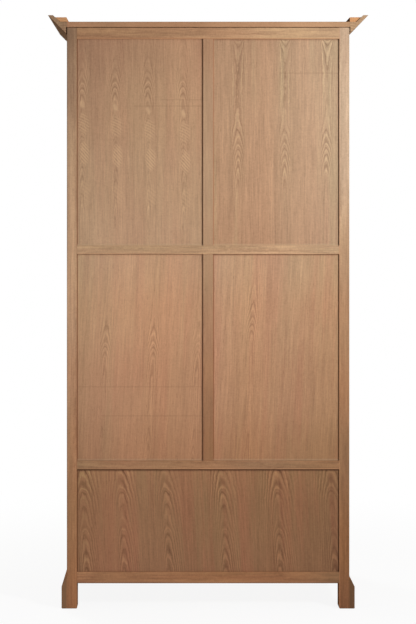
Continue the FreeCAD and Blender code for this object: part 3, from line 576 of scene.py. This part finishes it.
def finish_carcass():
    """Each member of the frame has its own board of oak, so no two show the same grain."""
    for n, (side, sign) in enumerate(SIDES.items()):
        inner, outer = ("Low Side", "High Side") if sign > 0 else ("High Side", "Low Side")
        edges = (("Head", *SHADOW_UNDER_BOARD), (outer, 0.75, FLARE_END[side]))
        for place, pith, through, more, (stain, fade) in (
                ("back", 0.24, 0, ((inner, *POST_ARRISES[side]),), BACK_POSTS[side]),
                ("front", -0.2, 2, (), FRONT_POST)):
            dress(f"{side}_{place}_post", "xyz", hearts=(sign * 0.43,), pith=pith, shift=(n, through, n * 3),
                  span=(0.0, 1.96), slope=0.02, figure=0.5, stain=stain, fade=fade, drift=POST_DRIFTS[side],
                  opening=(*sorted((sign * POST_INNER, sign * POST_MASK_END)), -FAR, UNDER_TOP),
                  edges=edges + more, gloss=0.0, wear=0.4, streaks=1.5)
        dress(f"{side}_side_rails", "zxy", hearts=(0.48, 1.2, 1.94), pith=sign * 0.44, shift=(3 + n, 1, n))
        dress(f"{side}_side_skirt", "zxy", hearts=(0.09,), pith=sign * 0.44, shift=(5 + n, 1, n),
              stain=stained(152, 110, 79), gloss=0.0)
        dress(f"{side}_side_tall_panels", "yxz", f"veneer_{side}_side_tall", hearts=(-0.16, -0.02, 0.12, 0.25),
              pith=sign * 0.458, shift=(1, 4 + n, 2), span=(0.49, 1.92), reach=0.2, ring=0.01,
              climb=((0, 0.1), (0.2, 0.3), (0.4, 0.7), (0.6, 0.74), (0.8, 0.4), (1, 0.95)))
        dress(f"{side}_side_lower_panel", "yxz", f"veneer_{side}_side_lower", hearts=(-0.14, 0.03, 0.2),
              pith=sign * 0.458, shift=(2, 6 + n, 1), climb=((0, 0), (0.51, 0.47), (0.71, 0.58), (1, 1)),
              span=(0.12, 0.47), reach=0.105, figure=0.8, spread=0.07, stain=stained(155, 112, 82))
    for n, (name, (level, foot, stain, fade)) in enumerate(RAIL_STAINS_AND_SHADING.items()):
        dress(f"back_{name}_rail", "zyx", hearts=(level + 0.01,), pith=0.265, shift=(n * 2, 3, n), slope=0.02,
              figure=0.45, stain=stain, fade=fade, span=(-POST_INNER, POST_INNER),
              opening=(foot, UNDER_TOP, -FAR, FAR), side_width=0.005, wear=0.6, streaks=1.9,
              edges=(("High Side", *SHADOW_UNDER_BOARD), ("Low Side", *RAIL_ARRISES[name])))
        if name != "middle":
            dress(f"front_{name}_rail", "zyx", hearts=(level,), pith=-0.23, shift=(n * 2 + 1, 5, n), stain=stain)
    dress("front_divider_rail", "zyx", hearts=(0.3,), pith=-0.23, shift=(9, 5, 2), stain=DRAWER_FRONT_STAIN)
    for n, (name, (stain, span, fade)) in enumerate(MUNTIN_STAINS_AND_SHADING.items()):
        dress(f"back_{name}_muntin", "xyz", hearts=(0.03,), pith=0.26, shift=(4, n * 3, 5 + n), slope=0.02,
              figure=0.3, stain=stain, span=span, fade=fade)


def panel_edges(head, foot=0.4, high=(0.7, (150, 88, 60))):
    """Painted shade and joint lines along the four edges of a back panel, by their strength at head and foot and
    at its high side. At the foot a pale tint paints light over the shade of the recess.
    """
    return (PANEL_EDGES[0], ("High Side", *high), ("Foot", foot, (212, 185, 149)), ("Head", head, (112, 68, 44)))


def back_panel(place, name, sides, ends, end_width=0.009, **look):
    """A back panel by the sides and ends of its clear opening."""
    dress(f"back_panel_{place}", "xyz", f"veneer_{name}", span=ends, opening=(*sides, *ends), end_width=end_width,
          **look)


def finish_back_panels():
    """Five back panels of slip-matched veneer. Each has its own figure, set out one by one."""
    upper, middle, lower = (1.2235, 1.92), (0.4985, 1.1945), (0.1235, 0.4695)
    low_x, high_x = (-POST_INNER, -MUNTIN_EDGE), (MUNTIN_EDGE, POST_INNER)
    # Each panel's fade and drift also paint the falloff of light
    back_panel(
        "upper_right", "upper_near_left_post", high_x, upper, edges=panel_edges(0.08, high=DARK_LINE),
        hearts=(0.425, 0.313, 0.202, 0.084), pith=0.266, shift=(1, 0, 0), reach=0.1, ring=0.0046, figure=0.64,
        spread=0.044, clear_side=-0.002, streaks=1.25, flank=0.6, core=0.052, stain=stained(180, 143, 112, 3),
        climb=((0, 0.1), (0.25, 0.15), (0.38, 0.24), (0.64, 0.64), (0.67, 0.66), (0.71, 0.69), (0.85, 0.85),
               (1, 0.93)),
        clarity=((0, 0.35), (0.3, 0.75), (0.5, 0.5), (0.66, 0.5), (0.73, 1.0), (0.79, 0.9), (0.88, 0.4),
                 (1, 0.35)),
        rays=((0.0, 1.661, 0.011, 0.018, 1.2, 0.045, 0.6), (-0.005, 1.597, 0.024, 0.046, 0.4, 0.01, 0.5),
              (-0.008, 1.498, 0.021, 0.048, 1.0, 0.0115, 0.75), (-0.01, 1.37, 0.022, 0.05, 0.7, 0.014, 0.3)),
        marks=((1.715, 0.02, 0.16), (1.694, 0.02, 0.25)),
        fade=((0, (1.08, 1.1, 1.13)), (0.35, (1.03, 1.04, 1.05)), (0.65, (0.98, 0.965, 0.95)),
              (1, (0.86, 0.8, 0.79))),
        drift=((0, (1.03, 1.02, 1.01)), (0.5, (0.99, 0.985, 0.98)), (1, (0.975, 0.985, 0.99))), twist=-0.085)
    back_panel(
        "upper_left", "upper_near_right_post", low_x, upper, edges=panel_edges(0.33),
        hearts=(-0.100, -0.2585, -0.3995), pith=0.287, shift=(2, 0, 4), reach=0.085, ring=0.0125, figure=0.9,
        spread=0.046, flank=1.3, core=0.03, streaks=1.35, stain=stained(177.5, 145, 113.5, 6),
        climb=((0, 0), (0.28, 0.1), (0.34, 0.17), (0.56, 0.86), (0.62, 0.95), (0.84, 1.0), (1, 0.5)),
        clarity=((0, 0.35), (0.26, 0.3), (0.36, 0.9), (0.54, 0.9), (0.64, 0.6), (0.82, 0.8), (1, 1.0)),
        marks=((1.805, -0.444, -0.242),),
        fade=((0, (0.96, 0.92, 0.9)), (0.35, (1.01, 1.0, 0.99)), (0.65, (1.02, 1.03, 1.03)),
              (1, (0.975, 0.98, 0.98))),
        drift=((0, (1.02, 1.05, 1.11)), (0.4, (1.02, 1.05, 1.07)), (0.6, (1.0, 0.97, 0.96)),
               (1, (0.975, 0.955, 0.94))), twist=-0.05)
    back_panel(
        "middle_right", "middle_near_left_post", high_x, middle, edges=panel_edges(0.2, 0.25, DARK_LINE),
        hearts=(0.346, 0.186, 0.034), pith=0.286, shift=(3, 0, 9), reach=0.085, lean=-0.05, ring=0.01,
        spread=0.036, streaks=1.05, flank=1.2, core=0.032, stain=stained(189, 145, 112, 4),
        climb=((0, 0), (0.17, 0.3), (0.46, 0.4), (0.64, 0.86), (0.8, 0.9), (1, 0.92)),
        clarity=((0, 0.7), (0.3, 0.5), (0.46, 0.9), (0.62, 1.0), (0.72, 0.4), (1, 0.3)),
        marks=((0.747, 0.02, 0.44), (0.649, 0.02, 0.36)),
        fade=((0, (0.81, 0.725, 0.68)), (0.35, (0.95, 0.9, 0.88)), (0.7, (1.05, 1.06, 1.04)),
              (1, (1.05, 1.11, 1.15))),
        drift=((0, (0.955, 0.925, 0.925)), (0.35, (0.985, 0.965, 0.945)), (0.6, (1.05, 1.02, 1.03)),
               (0.8, (0.945, 0.99, 1.0)), (1, (0.91, 1.0, 0.99))))
    back_panel(
        "middle_left", "middle_near_right_post", low_x, middle, stain=stained(177, 135, 104, 5),
        edges=panel_edges(0.5, 0.25, (1.0, (120, 72, 40))), hearts=(-0.146,), pith=0.286, shift=(4, 0, 13),
        reach=0.07, lean=-0.045, ring=0.01, spread=0.04, flank=1.0, core=0.032, streaks=1.35,
        climb=((0, 0.05), (0.3, 0.2), (0.52, 0.25), (0.8, 0.9), (1, 0.97)),
        clarity=((0, 0.7), (0.4, 0.6), (0.55, 0.9), (0.8, 1.0), (0.9, 0.4), (1, 0.3)),
        fade=((0, (0.785, 0.715, 0.64)), (0.35, (0.955, 0.9, 0.88)), (0.7, (1.055, 1.05, 1.05)),
              (1, (1.09, 1.17, 1.22))),
        drift=((0, (0.91, 0.92, 0.875)), (0.45, (0.96, 0.97, 0.965)), (0.7, (1.075, 1.06, 1.03)),
               (1, (1.055, 1.035, 1.06))), twist=-0.03)
    back_panel(
        "lower", "lower", (-POST_INNER, POST_INNER), lower, end_width=0.01, edges=LOWER_PANEL_EDGES,
        hearts=(0.4192, 0.2905, 0.1388, -0.0522, -0.2362, -0.4202), pith=0.268, shift=(5, 0, 16), reach=0.08,
        lean=0.05, ring=0.01, figure=1.1, spread=0.08, streaks=1.3, core=0.044, skew=0.15,
        stain=stained(145, 104, 75, 7),
        climb=((0, 0.1), (0.033, 0.125), (0.204, 0.25), (0.366, 0.375), (0.458, 0.5), (0.6, 0.6),
               (0.744, 0.71), (0.835, 0.835), (0.97, 0.96), (1, 1)),
        clarity=((0, 1.0), (0.12, 0.9), (0.3, 0.55), (0.55, 0.45), (0.75, 0.9), (1, 1.0)),
        fade=((0, (0.98, 0.95, 0.98)), (0.6, (0.985, 0.985, 0.985)), (1, (1.05, 1.1, 1.08))),
        drift=((0, (0.786, 0.765, 0.733)), (0.25, (0.94, 0.905, 0.877)), (0.45, (0.995, 1.01, 0.98)),
               (0.75, (1.14, 1.11, 1.13)), (1, (1.07, 1.155, 1.11))))


def finish_top():
    dress("top_board", "yzx", hearts=(-0.2, -0.02, 0.19), pith=1.95, shift=(6, 1, 2), slope=0.05, wobble=0.3,
          stain=stained(176, 131, 101, 4), gloss=0.05, span=(-0.48, 0.48),
          fade=((0, (1.06, 1.14, 1.12)), (0.4, (1.08, 1.12, 1.07)), (0.62, (0.97, 0.95, 0.9)),
                (1, (1, 1.01, 0.98))))
    for n, (side, sign) in enumerate(SIDES.items()):
        dress(f"{side}_top_flange", "xzy", hearts=(sign * 0.47,), pith=1.9, shift=(7 + n, 1, 2), slope=0.02,
              ring=0.009, gloss=0.0, stain=FLANGE_STAINS[side], shaded=FLANGE_UNDERSIDE_SHADE)
    dress("flange_fillers", "xzy", "bare_wood_strips", hearts=(0.49,), pith=1.93, ring=0.006, figure=0.8,
          shift=(1, 1, 9), stain=STRIP_WOOD, gloss=0.0, shaded=STRIP_END_SHADE)


def finish_inside():
    """Shelves of the same oak, and paler wood for what closed doors hide."""
    dress("waist_board", "yzx", hearts=(-0.1, 0.12), pith=0.49, shift=(8, 1, 1), wobble=0.3)
    dress("middle_shelf", "yzx", hearts=(-0.12, 0.1), pith=1.21, shift=(8, 2, 3), wobble=0.3)
    dress("adjustable_shelves", "yzx", hearts=(-0.08, 0.14), pith=1.2, shift=(8, 3, 5), wobble=0.3)
    dress("drawer_runners", "xzy", "pale_wood_runners", shift=(9, 1, 1), pith=0.3, figure=0.4, stain=INNER_WOOD)
    dress("door_stops", "xyz", "pale_wood_stops", shift=(9, 2, 1), pith=-0.25, figure=0.4, stain=INNER_WOOD)
    for n, (drawer, heart) in enumerate(zip(DRAWERS, (0.38, 0.2))):
        dress(f"{drawer}_drawer_box", "zxy", f"pale_wood_{drawer}_drawer", shift=(9, 3 + n, 1), pith=0.42,
              hearts=(heart,), figure=0.4, stain=INNER_WOOD)


def finish_front():
    for n, (side, sign) in enumerate(SIDES.items()):
        dress(f"{side}_door_stiles", "xyz", shift=(10 + n, 1, 4), pith=-0.24, hearts=(sign * 0.03, sign * 0.412),
              slope=0.02)
        dress(f"{side}_door_rails", "zyx", shift=(10 + n, 2, 4), pith=-0.24, hearts=(0.535, 1.889))
        dress(f"{side}_door_panel", "xyz", f"veneer_{side}_door_panel", shift=(12, 1, 6), pith=-0.247,
              hearts=(sign * 0.1, sign * 0.22, sign * 0.34), span=(0.57, 1.86), reach=0.26, figure=0.8,
              climb=((0, 0), (0.3, 0.35), (0.5, 0.45), (0.75, 0.8), (1, 0.95)),
              opening=(*sorted((sign * 0.0595, sign * 0.3825)), 0.5705, 1.86))
    for n, (drawer, heart) in enumerate(zip(DRAWERS, (0.402, 0.192))):
        dress(f"{drawer}_drawer_front", "zyx", shift=(14, n, 7 + n), hearts=(heart,), pith=-0.24, slope=0.1,
              wobble=0.2, figure=0.8, core=0.05, spread=0.06, stain=DRAWER_FRONT_STAIN)


def finish_fittings():
    """Brass on every hinge, pin, plate and pull, and the trim that sits on them."""
    metal = brass("aged_brass_fittings")
    names = ["post_hinge_halves", "shelf_pins"]
    names += [f"{side}_door_{part}" for side in SIDES for part in ("hinge_leaves", "lock_plate", "drop_pull")]
    names += [f"{drawer}_drawer_{part}" for drawer in DRAWERS for part in ("plates", "left_pull", "right_pull")]
    finish(names, metal)
    ease_edges(names, 0.0004)
    make_screws(brass("aged_brass_screws", bright=(176, 140, 84), age=0.7))
    make_lock_trim(metal)
    make_drawer_trim(metal)
    make_drops(metal)
    return names


def eased(piece, width, angle):
    """Rounds the edges of a piece that turn by more than an angle."""
    bevel = piece.modifiers.new("eased", "BEVEL")
    bevel.width = width
    bevel.segments = 2
    bevel.limit_method = "ANGLE"
    bevel.angle_limit = math.radians(angle)
    return bevel


def ease_edges(names, width):
    """Slightly rounded edges, as sandpaper and files leave them."""
    for name in names:
        weld = nodes[name].modifiers.new("weld", "WELD")
        weld.merge_threshold = 0.00002
        eased(nodes[name], width, 32).harden_normals = True


# Trim: screws, beads, studs, drops and dovetails

def outward(shape):
    """Turns the faces of a shape outward."""
    bmesh.ops.recalc_face_normals(shape, faces=shape.faces)
    return shape


def turned(outline, steps):
    """A shape turned on a lathe from its half outline."""
    shape = bmesh.new()
    points = [shape.verts.new((radius / 1000, 0, height / 1000)) for radius, height in outline]
    edges = [shape.edges.new(pair) for pair in zip(points, points[1:])]
    bmesh.ops.spin(shape, geom=points + edges, axis=(0, 0, 1), cent=(0, 0, 0), angle=math.tau, steps=steps,
                   use_merge=True)
    bmesh.ops.remove_doubles(shape, verts=shape.verts, dist=0.000001)
    return outward(shape)


def raised(shape, faces, height):
    """Pulls faces up out of a shape, and gives back their new points."""
    made = bmesh.ops.extrude_face_region(shape, geom=faces)
    points = [item for item in made["geom"] if isinstance(item, bmesh.types.BMVert)]
    bmesh.ops.translate(shape, verts=points, vec=(0, 0, height))
    return points


def sunk(shape, faces, depth):
    """Presses faces down into a shape."""
    raised(shape, faces, -depth)
    bmesh.ops.delete(shape, geom=faces, context="FACES")
    return outward(shape)


def screw_head():
    """A slotted screw head, its foot sunk in the brass."""
    radius, height, foot, rounding = 0.0033, 0.0011, 0.0005, 0.0006
    half_slot, slot_depth = 0.00045, 0.0005
    shape = bmesh.new()
    bmesh.ops.create_circle(shape, cap_ends=True, segments=20, radius=radius)
    bmesh.ops.translate(shape, verts=shape.verts, vec=(0, 0, -foot))
    top = raised(shape, shape.faces[:], height)
    rim = [edge for edge in shape.edges if all(point in top for point in edge.verts)]
    bmesh.ops.bevel(shape, geom=rim, offset=rounding, segments=3, profile=0.5, affect="EDGES", material=-1)
    for side in (-half_slot, half_slot):
        bmesh.ops.bisect_plane(shape, geom=shape.verts[:] + shape.edges[:] + shape.faces[:],
                               plane_co=(side, 0, 0), plane_no=(1, 0, 0))
    outward(shape)
    slot = [face for face in shape.faces if face.normal.z > 0.9 and abs(face.calc_center_median().x) < half_slot]
    return sunk(shape, slot, slot_depth)


def bead(radius, thickness, sweep=360):
    """A round bead that runs round a plate over its sweep, half sunk in it."""
    shape = bmesh.new()
    bmesh.ops.create_circle(shape, segments=12, radius=thickness)
    bmesh.ops.rotate(shape, verts=shape.verts, cent=(0, 0, 0), matrix=Matrix.Rotation(math.radians(90), 3, "X"))
    bmesh.ops.translate(shape, verts=shape.verts, vec=(radius, 0, 0))
    bmesh.ops.rotate(shape, verts=shape.verts, cent=(0, 0, 0),
                     matrix=Matrix.Rotation(math.radians(-sweep / 2), 3, "Z"))
    bmesh.ops.spin(shape, geom=shape.verts[:] + shape.edges[:], axis=(0, 0, 1), cent=(0, 0, 0),
                   angle=math.radians(sweep), steps=math.ceil(sweep / 6), use_merge=sweep == 360)
    bmesh.ops.holes_fill(shape, edges=[edge for edge in shape.edges if edge.is_boundary], sides=0)
    return outward(shape)


def dovetail(narrow, wide, length, thickness):
    """One tail of a dovetail, flat, with its narrow end at the middle and its length along Y."""
    shape = bmesh.new()
    corners = [shape.verts.new((width / 2, y, 0))
               for width, y in ((-narrow, 0), (narrow, 0), (wide, length), (-wide, length))]
    bmesh.ops.contextual_create(shape, geom=corners)
    raised(shape, shape.faces[:], thickness)
    return outward(shape)


def drop_tongue(length):
    """A flat tongue hanging from the middle, wider at its round foot, its face sunk inside a raised border."""
    foot, waist, head = DROP_FOOT - length, -length * 0.35, -0.0025
    border, depth = 0.0011, 0.0006
    shape = bmesh.new()
    corners = [shape.verts.new((across, level, 0)) for across, level in (
        (-DROP_FOOT, foot), (-DROP_NECK, waist), (-DROP_NECK, head),
        (DROP_NECK, head), (DROP_NECK, waist), (DROP_FOOT, foot))]
    for pair in zip(corners, corners[1:]):
        shape.edges.new(pair)
    bmesh.ops.spin(shape, geom=corners[-1:], axis=(0, 0, 1), cent=(0, foot, 0), angle=-math.pi, steps=16)
    bmesh.ops.remove_doubles(shape, verts=shape.verts, dist=0.000001)
    bmesh.ops.contextual_create(shape, geom=shape.edges[:])
    raised(shape, shape.faces[:], DROP_THICKNESS)
    face = [part for part in outward(shape).faces if part.normal.z > 0.9]
    bmesh.ops.inset_region(shape, faces=face, thickness=border)
    return sunk(shape, face, depth)


def new_mesh(name, shape):
    """A mesh from a shape, which is let go."""
    mesh = bpy.data.meshes.new(name)
    shape.to_mesh(mesh)
    shape.free()
    return mesh


def new_object(name, data, place=(0, 0, 0)):
    made = bpy.data.objects.new(name, data)
    bpy.context.scene.collection.objects.link(made)
    made.location = place
    return made


def stamp(shape, pattern, places):
    """Adds a copy of a pattern at each place, and lets go of the pattern."""
    mesh = new_mesh("pattern", pattern)
    for place in places:
        first = len(shape.verts)
        shape.from_mesh(mesh)
        shape.verts.ensure_lookup_table()
        bmesh.ops.transform(shape, matrix=place, verts=shape.verts[first:])
    bpy.data.meshes.remove(mesh)


def make_piece(name, shape, body, material, crease=35):
    """A finished shape becomes a piece that rides on one of the cabinet's bodies."""
    mesh = new_mesh(name, shape)
    mesh.shade_smooth()
    mesh.set_sharp_from_angle(angle=math.radians(crease))
    mesh.materials.append(material)
    piece = new_object(name, mesh)
    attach(piece, body)
    return piece


def facing(x, y, z, turn=0.0):
    """The place of a flat pattern that faces the front, turned by some degrees."""
    return Matrix.Translation((x, y, z)) @ FACING @ Matrix.Rotation(math.radians(turn), 4, "Z")


def ring_of_places(x, z, radius, angles, sign=1):
    """Places on a ring round a plate's middle."""
    return [facing(x + sign * radius * math.cos(angle), LEAF_FACE, z + radius * math.sin(angle))
            for angle in map(math.radians, angles)]


def make_screws(metal):
    """Three slotted screws in each hinge leaf. Their slots stand at different angles, as left by hand."""
    post = bmesh.new()
    for side, sign in SIDES.items():
        door = bmesh.new()
        for m, level in enumerate(HINGE_LEVELS):
            for n, rise in enumerate((-SCREW_SPREAD, 0, SCREW_SPREAD)):
                turn = (sign * 37 + m * 71 + n * 53) % 180
                for leaf, reach, extra_turn in ((post, SCREW_REACH, 0), (door, -SCREW_REACH, 64)):
                    stamp(leaf, screw_head(), [facing(sign * (HINGE_X + reach), LEAF_FACE, level + rise,
                                                      turn + extra_turn)])
        make_piece(f"{side}_door_hinge_screws", door, f"{side}_door", metal)
    make_piece("post_hinge_screws", post, "cabinet", metal)


def make_lock_trim(metal):
    """Two beads and four studs on each half of the round plate between the doors."""
    for side, sign in SIDES.items():
        trim = bmesh.new()
        for size in LOCK_BEADS:
            stamp(trim, bead(*size), [facing(0, LEAF_FACE, PULL_PLATE_LEVEL, 0 if sign > 0 else 180)])
        stamp(trim, turned(STUD, 20), ring_of_places(0, PULL_PLATE_LEVEL, *LOCK_STUDS, sign))
        make_piece(f"{side}_door_lock_trim", trim, f"{side}_door", metal)


def make_drawer_trim(metal):
    """A bead and four studs on each of a drawer's two round plates."""
    for drawer in DRAWERS:
        trim = bmesh.new()
        for sign in SIDES.values():
            x, z = sign * DROPS["drawer"][0], DROP_LEVELS[drawer]
            stamp(trim, bead(*DRAWER_BEAD), [facing(x, LEAF_FACE, z)])
            stamp(trim, turned(STUD, 20), ring_of_places(x, z, *DRAWER_STUDS))
        make_piece(f"{drawer}_drawer_plate_trim", trim, f"{drawer}_drawer", metal)


def make_drop(node, body, kind, sign, z, metal):
    """A drop pull: a barrel bored for its bar, with two fine grooves, a tongue and a boss on its foot."""
    x, length = sign * DROPS[kind][0], DROPS[kind][1]
    lying = Matrix.Rotation(math.radians(90), 4, "Y")
    shape = bmesh.new()
    stamp(shape, drop_tongue(length), [facing(x, DROP_FACE + DROP_THICKNESS, z)])
    stamp(shape, turned(BARREL, 28), [Matrix.Translation((x, DROP_AXIS, z)) @ lying])
    stamp(shape, turned(BOSS, 24), [facing(x, DROP_FACE + 0.0006, z - length + DROP_FOOT)])
    piece = make_piece(f"{node}_chased", shape, body, metal, 30)
    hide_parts(node)
    eased(piece, 0.0003, 50)


def make_drops(metal):
    for side, sign in SIDES.items():
        make_drop(f"{side}_door_drop_pull", f"{side}_door_pull", "door", sign, DROP_LEVELS["door"], metal)
        for drawer in DRAWERS:
            name = f"{drawer}_drawer_{side}_pull"
            make_drop(name, name, "drawer", sign, DROP_LEVELS[drawer], metal)


def make_dovetails():
    """Tails of the drawer sides let into the ends of the fronts, and pins of the backs in the sides."""
    pale = oak("pale_wood_tails", "zxy", shift=(9, 6, 1), pith=0.42, hearts=(0.3,), figure=0.5, stain=TAIL_WOOD,
               wear=0)
    end_grain = oak("end_grain_pins", "yzx", shift=(9, 7, 1), pith=0.42, hearts=(0.3,), figure=0.7, ring=0.004,
                    stain=stained(172, 132, 92), wear=0)
    count, skin, sink, front_end, back_end = 4, 0.0005, 0.0003, -0.242, 0.218
    for drawer in DRAWERS:
        tails, pins = bmesh.new(), bmesh.new()
        for sign in SIDES.values():
            for n in range(count):
                level = DRAWER_BOTTOMS[drawer] + DRAWER_SIDE_HEIGHT * (n + 0.5) / count
                for shape, size, y, way in ((tails, TAIL, front_end, -1), (pins, PIN, back_end, 1)):
                    face = Matrix(((0, 0, sign, sign * (DRAWER_SIDE - sink)), (0, way, 0, y),
                                   (sign, 0, 0, level), (0, 0, 0, 1)))
                    stamp(shape, dovetail(*size, skin), [face])
        make_piece(f"{drawer}_drawer_dovetails", outward(tails), f"{drawer}_drawer", pale)
        make_piece(f"{drawer}_drawer_pins", outward(pins), f"{drawer}_drawer", end_grain)


# Floor, camera and light

def seen_rays(sheet):
    """1 for rays that the eye follows, also in mirrors and glass, and 0 for those that only light."""
    rays = sheet.node("LightPath").outputs
    return sheet.math("MAXIMUM", rays["Is Camera Ray"],
                      sheet.math("MAXIMUM", rays["Is Glossy Ray"], rays["Is Transmission Ray"]))


def make_floor():
    """A pale floor that melts into the white round it, so only a soft shadow shows."""
    shape = bmesh.new()
    bmesh.ops.create_grid(shape, x_segments=2, y_segments=2, size=14.0)
    floor = new_object("floor", new_mesh("floor", shape), (0, 0, -0.0005))
    material, sheet, shader, place = new_finish("pale_floor")
    sheet.filled(shader, base_color=(0.86, 0.86, 0.86, 1), roughness=0.7)
    shader.inputs["Specular IOR Level"].default_value = 0.0
    white = sheet.filled(sheet.node("Emission"), strength=1.0)
    cover = sheet.ramp(sheet.vector("LENGTH", place, result="Value"), 0.7, 2.2, 0.9, 1.0)
    blend = sheet.filled(sheet.node("MixShader"), sheet.times(seen_rays(sheet), cover), shader.outputs[0],
                         white.outputs[0])
    sheet.feed(blend.outputs[0], material.node_tree.nodes["Material Output"].inputs["Surface"])
    floor.data.materials.append(material)


def make_world(plain_level):
    """Plain white to the eye, and as bright as the plain level where it lights the cabinet."""
    world = bpy.data.worlds.new("studio")
    bpy.context.scene.world = world
    world.use_nodes = True
    sheet = Sheet(world.node_tree)
    sheet.filled(world.node_tree.nodes["Background"], color=(1, 1, 1, 1),
                 strength=sheet.scaled(seen_rays(sheet), 1.0 - plain_level, plain_level))


def make_lamp(name, place, target, size, power):
    data = bpy.data.lights.new(name, "AREA")
    data.shape = "DISK"
    data.size = size
    data.energy = power
    lamp = new_object(name, data, place)
    lamp.rotation_euler = (Vector(target) - Vector(place)).to_track_quat("-Z", "Y").to_euler()


def make_camera():
    """A level camera behind the cabinet, a little to its right and above its middle, as in the photograph."""
    photo_height, shift_right, shift_down = 624, 34.0, 94.5
    data = bpy.data.cameras.new("camera")
    camera = new_object("camera", data, (0.115, BACK + 5.554, 1.318))
    camera.rotation_euler = (math.radians(90), 0, math.radians(180))
    data.sensor_width = 36
    data.lens = 95.1
    data.shift_x = shift_right / photo_height
    data.shift_y = -shift_down / photo_height
    bpy.context.scene.camera = camera


finish_carcass()
finish_back_panels()
finish_top()
finish_inside()
finish_front()
fittings = finish_fittings()
make_dovetails()
ease_edges([name for name in nodes if name not in fittings], 0.0009)
make_floor()
make_world(0.32)
make_lamp("key", (-2.2, 2.7, 2.1), (-0.1, 0.3, 1.3), 0.45, 92)
make_lamp("front_key", (1.6, -2.6, 2.5), (0.0, -0.2, 1.1), 1.4, 60)
make_camera()
bpy.context.scene.view_settings.view_transform = "Standard"
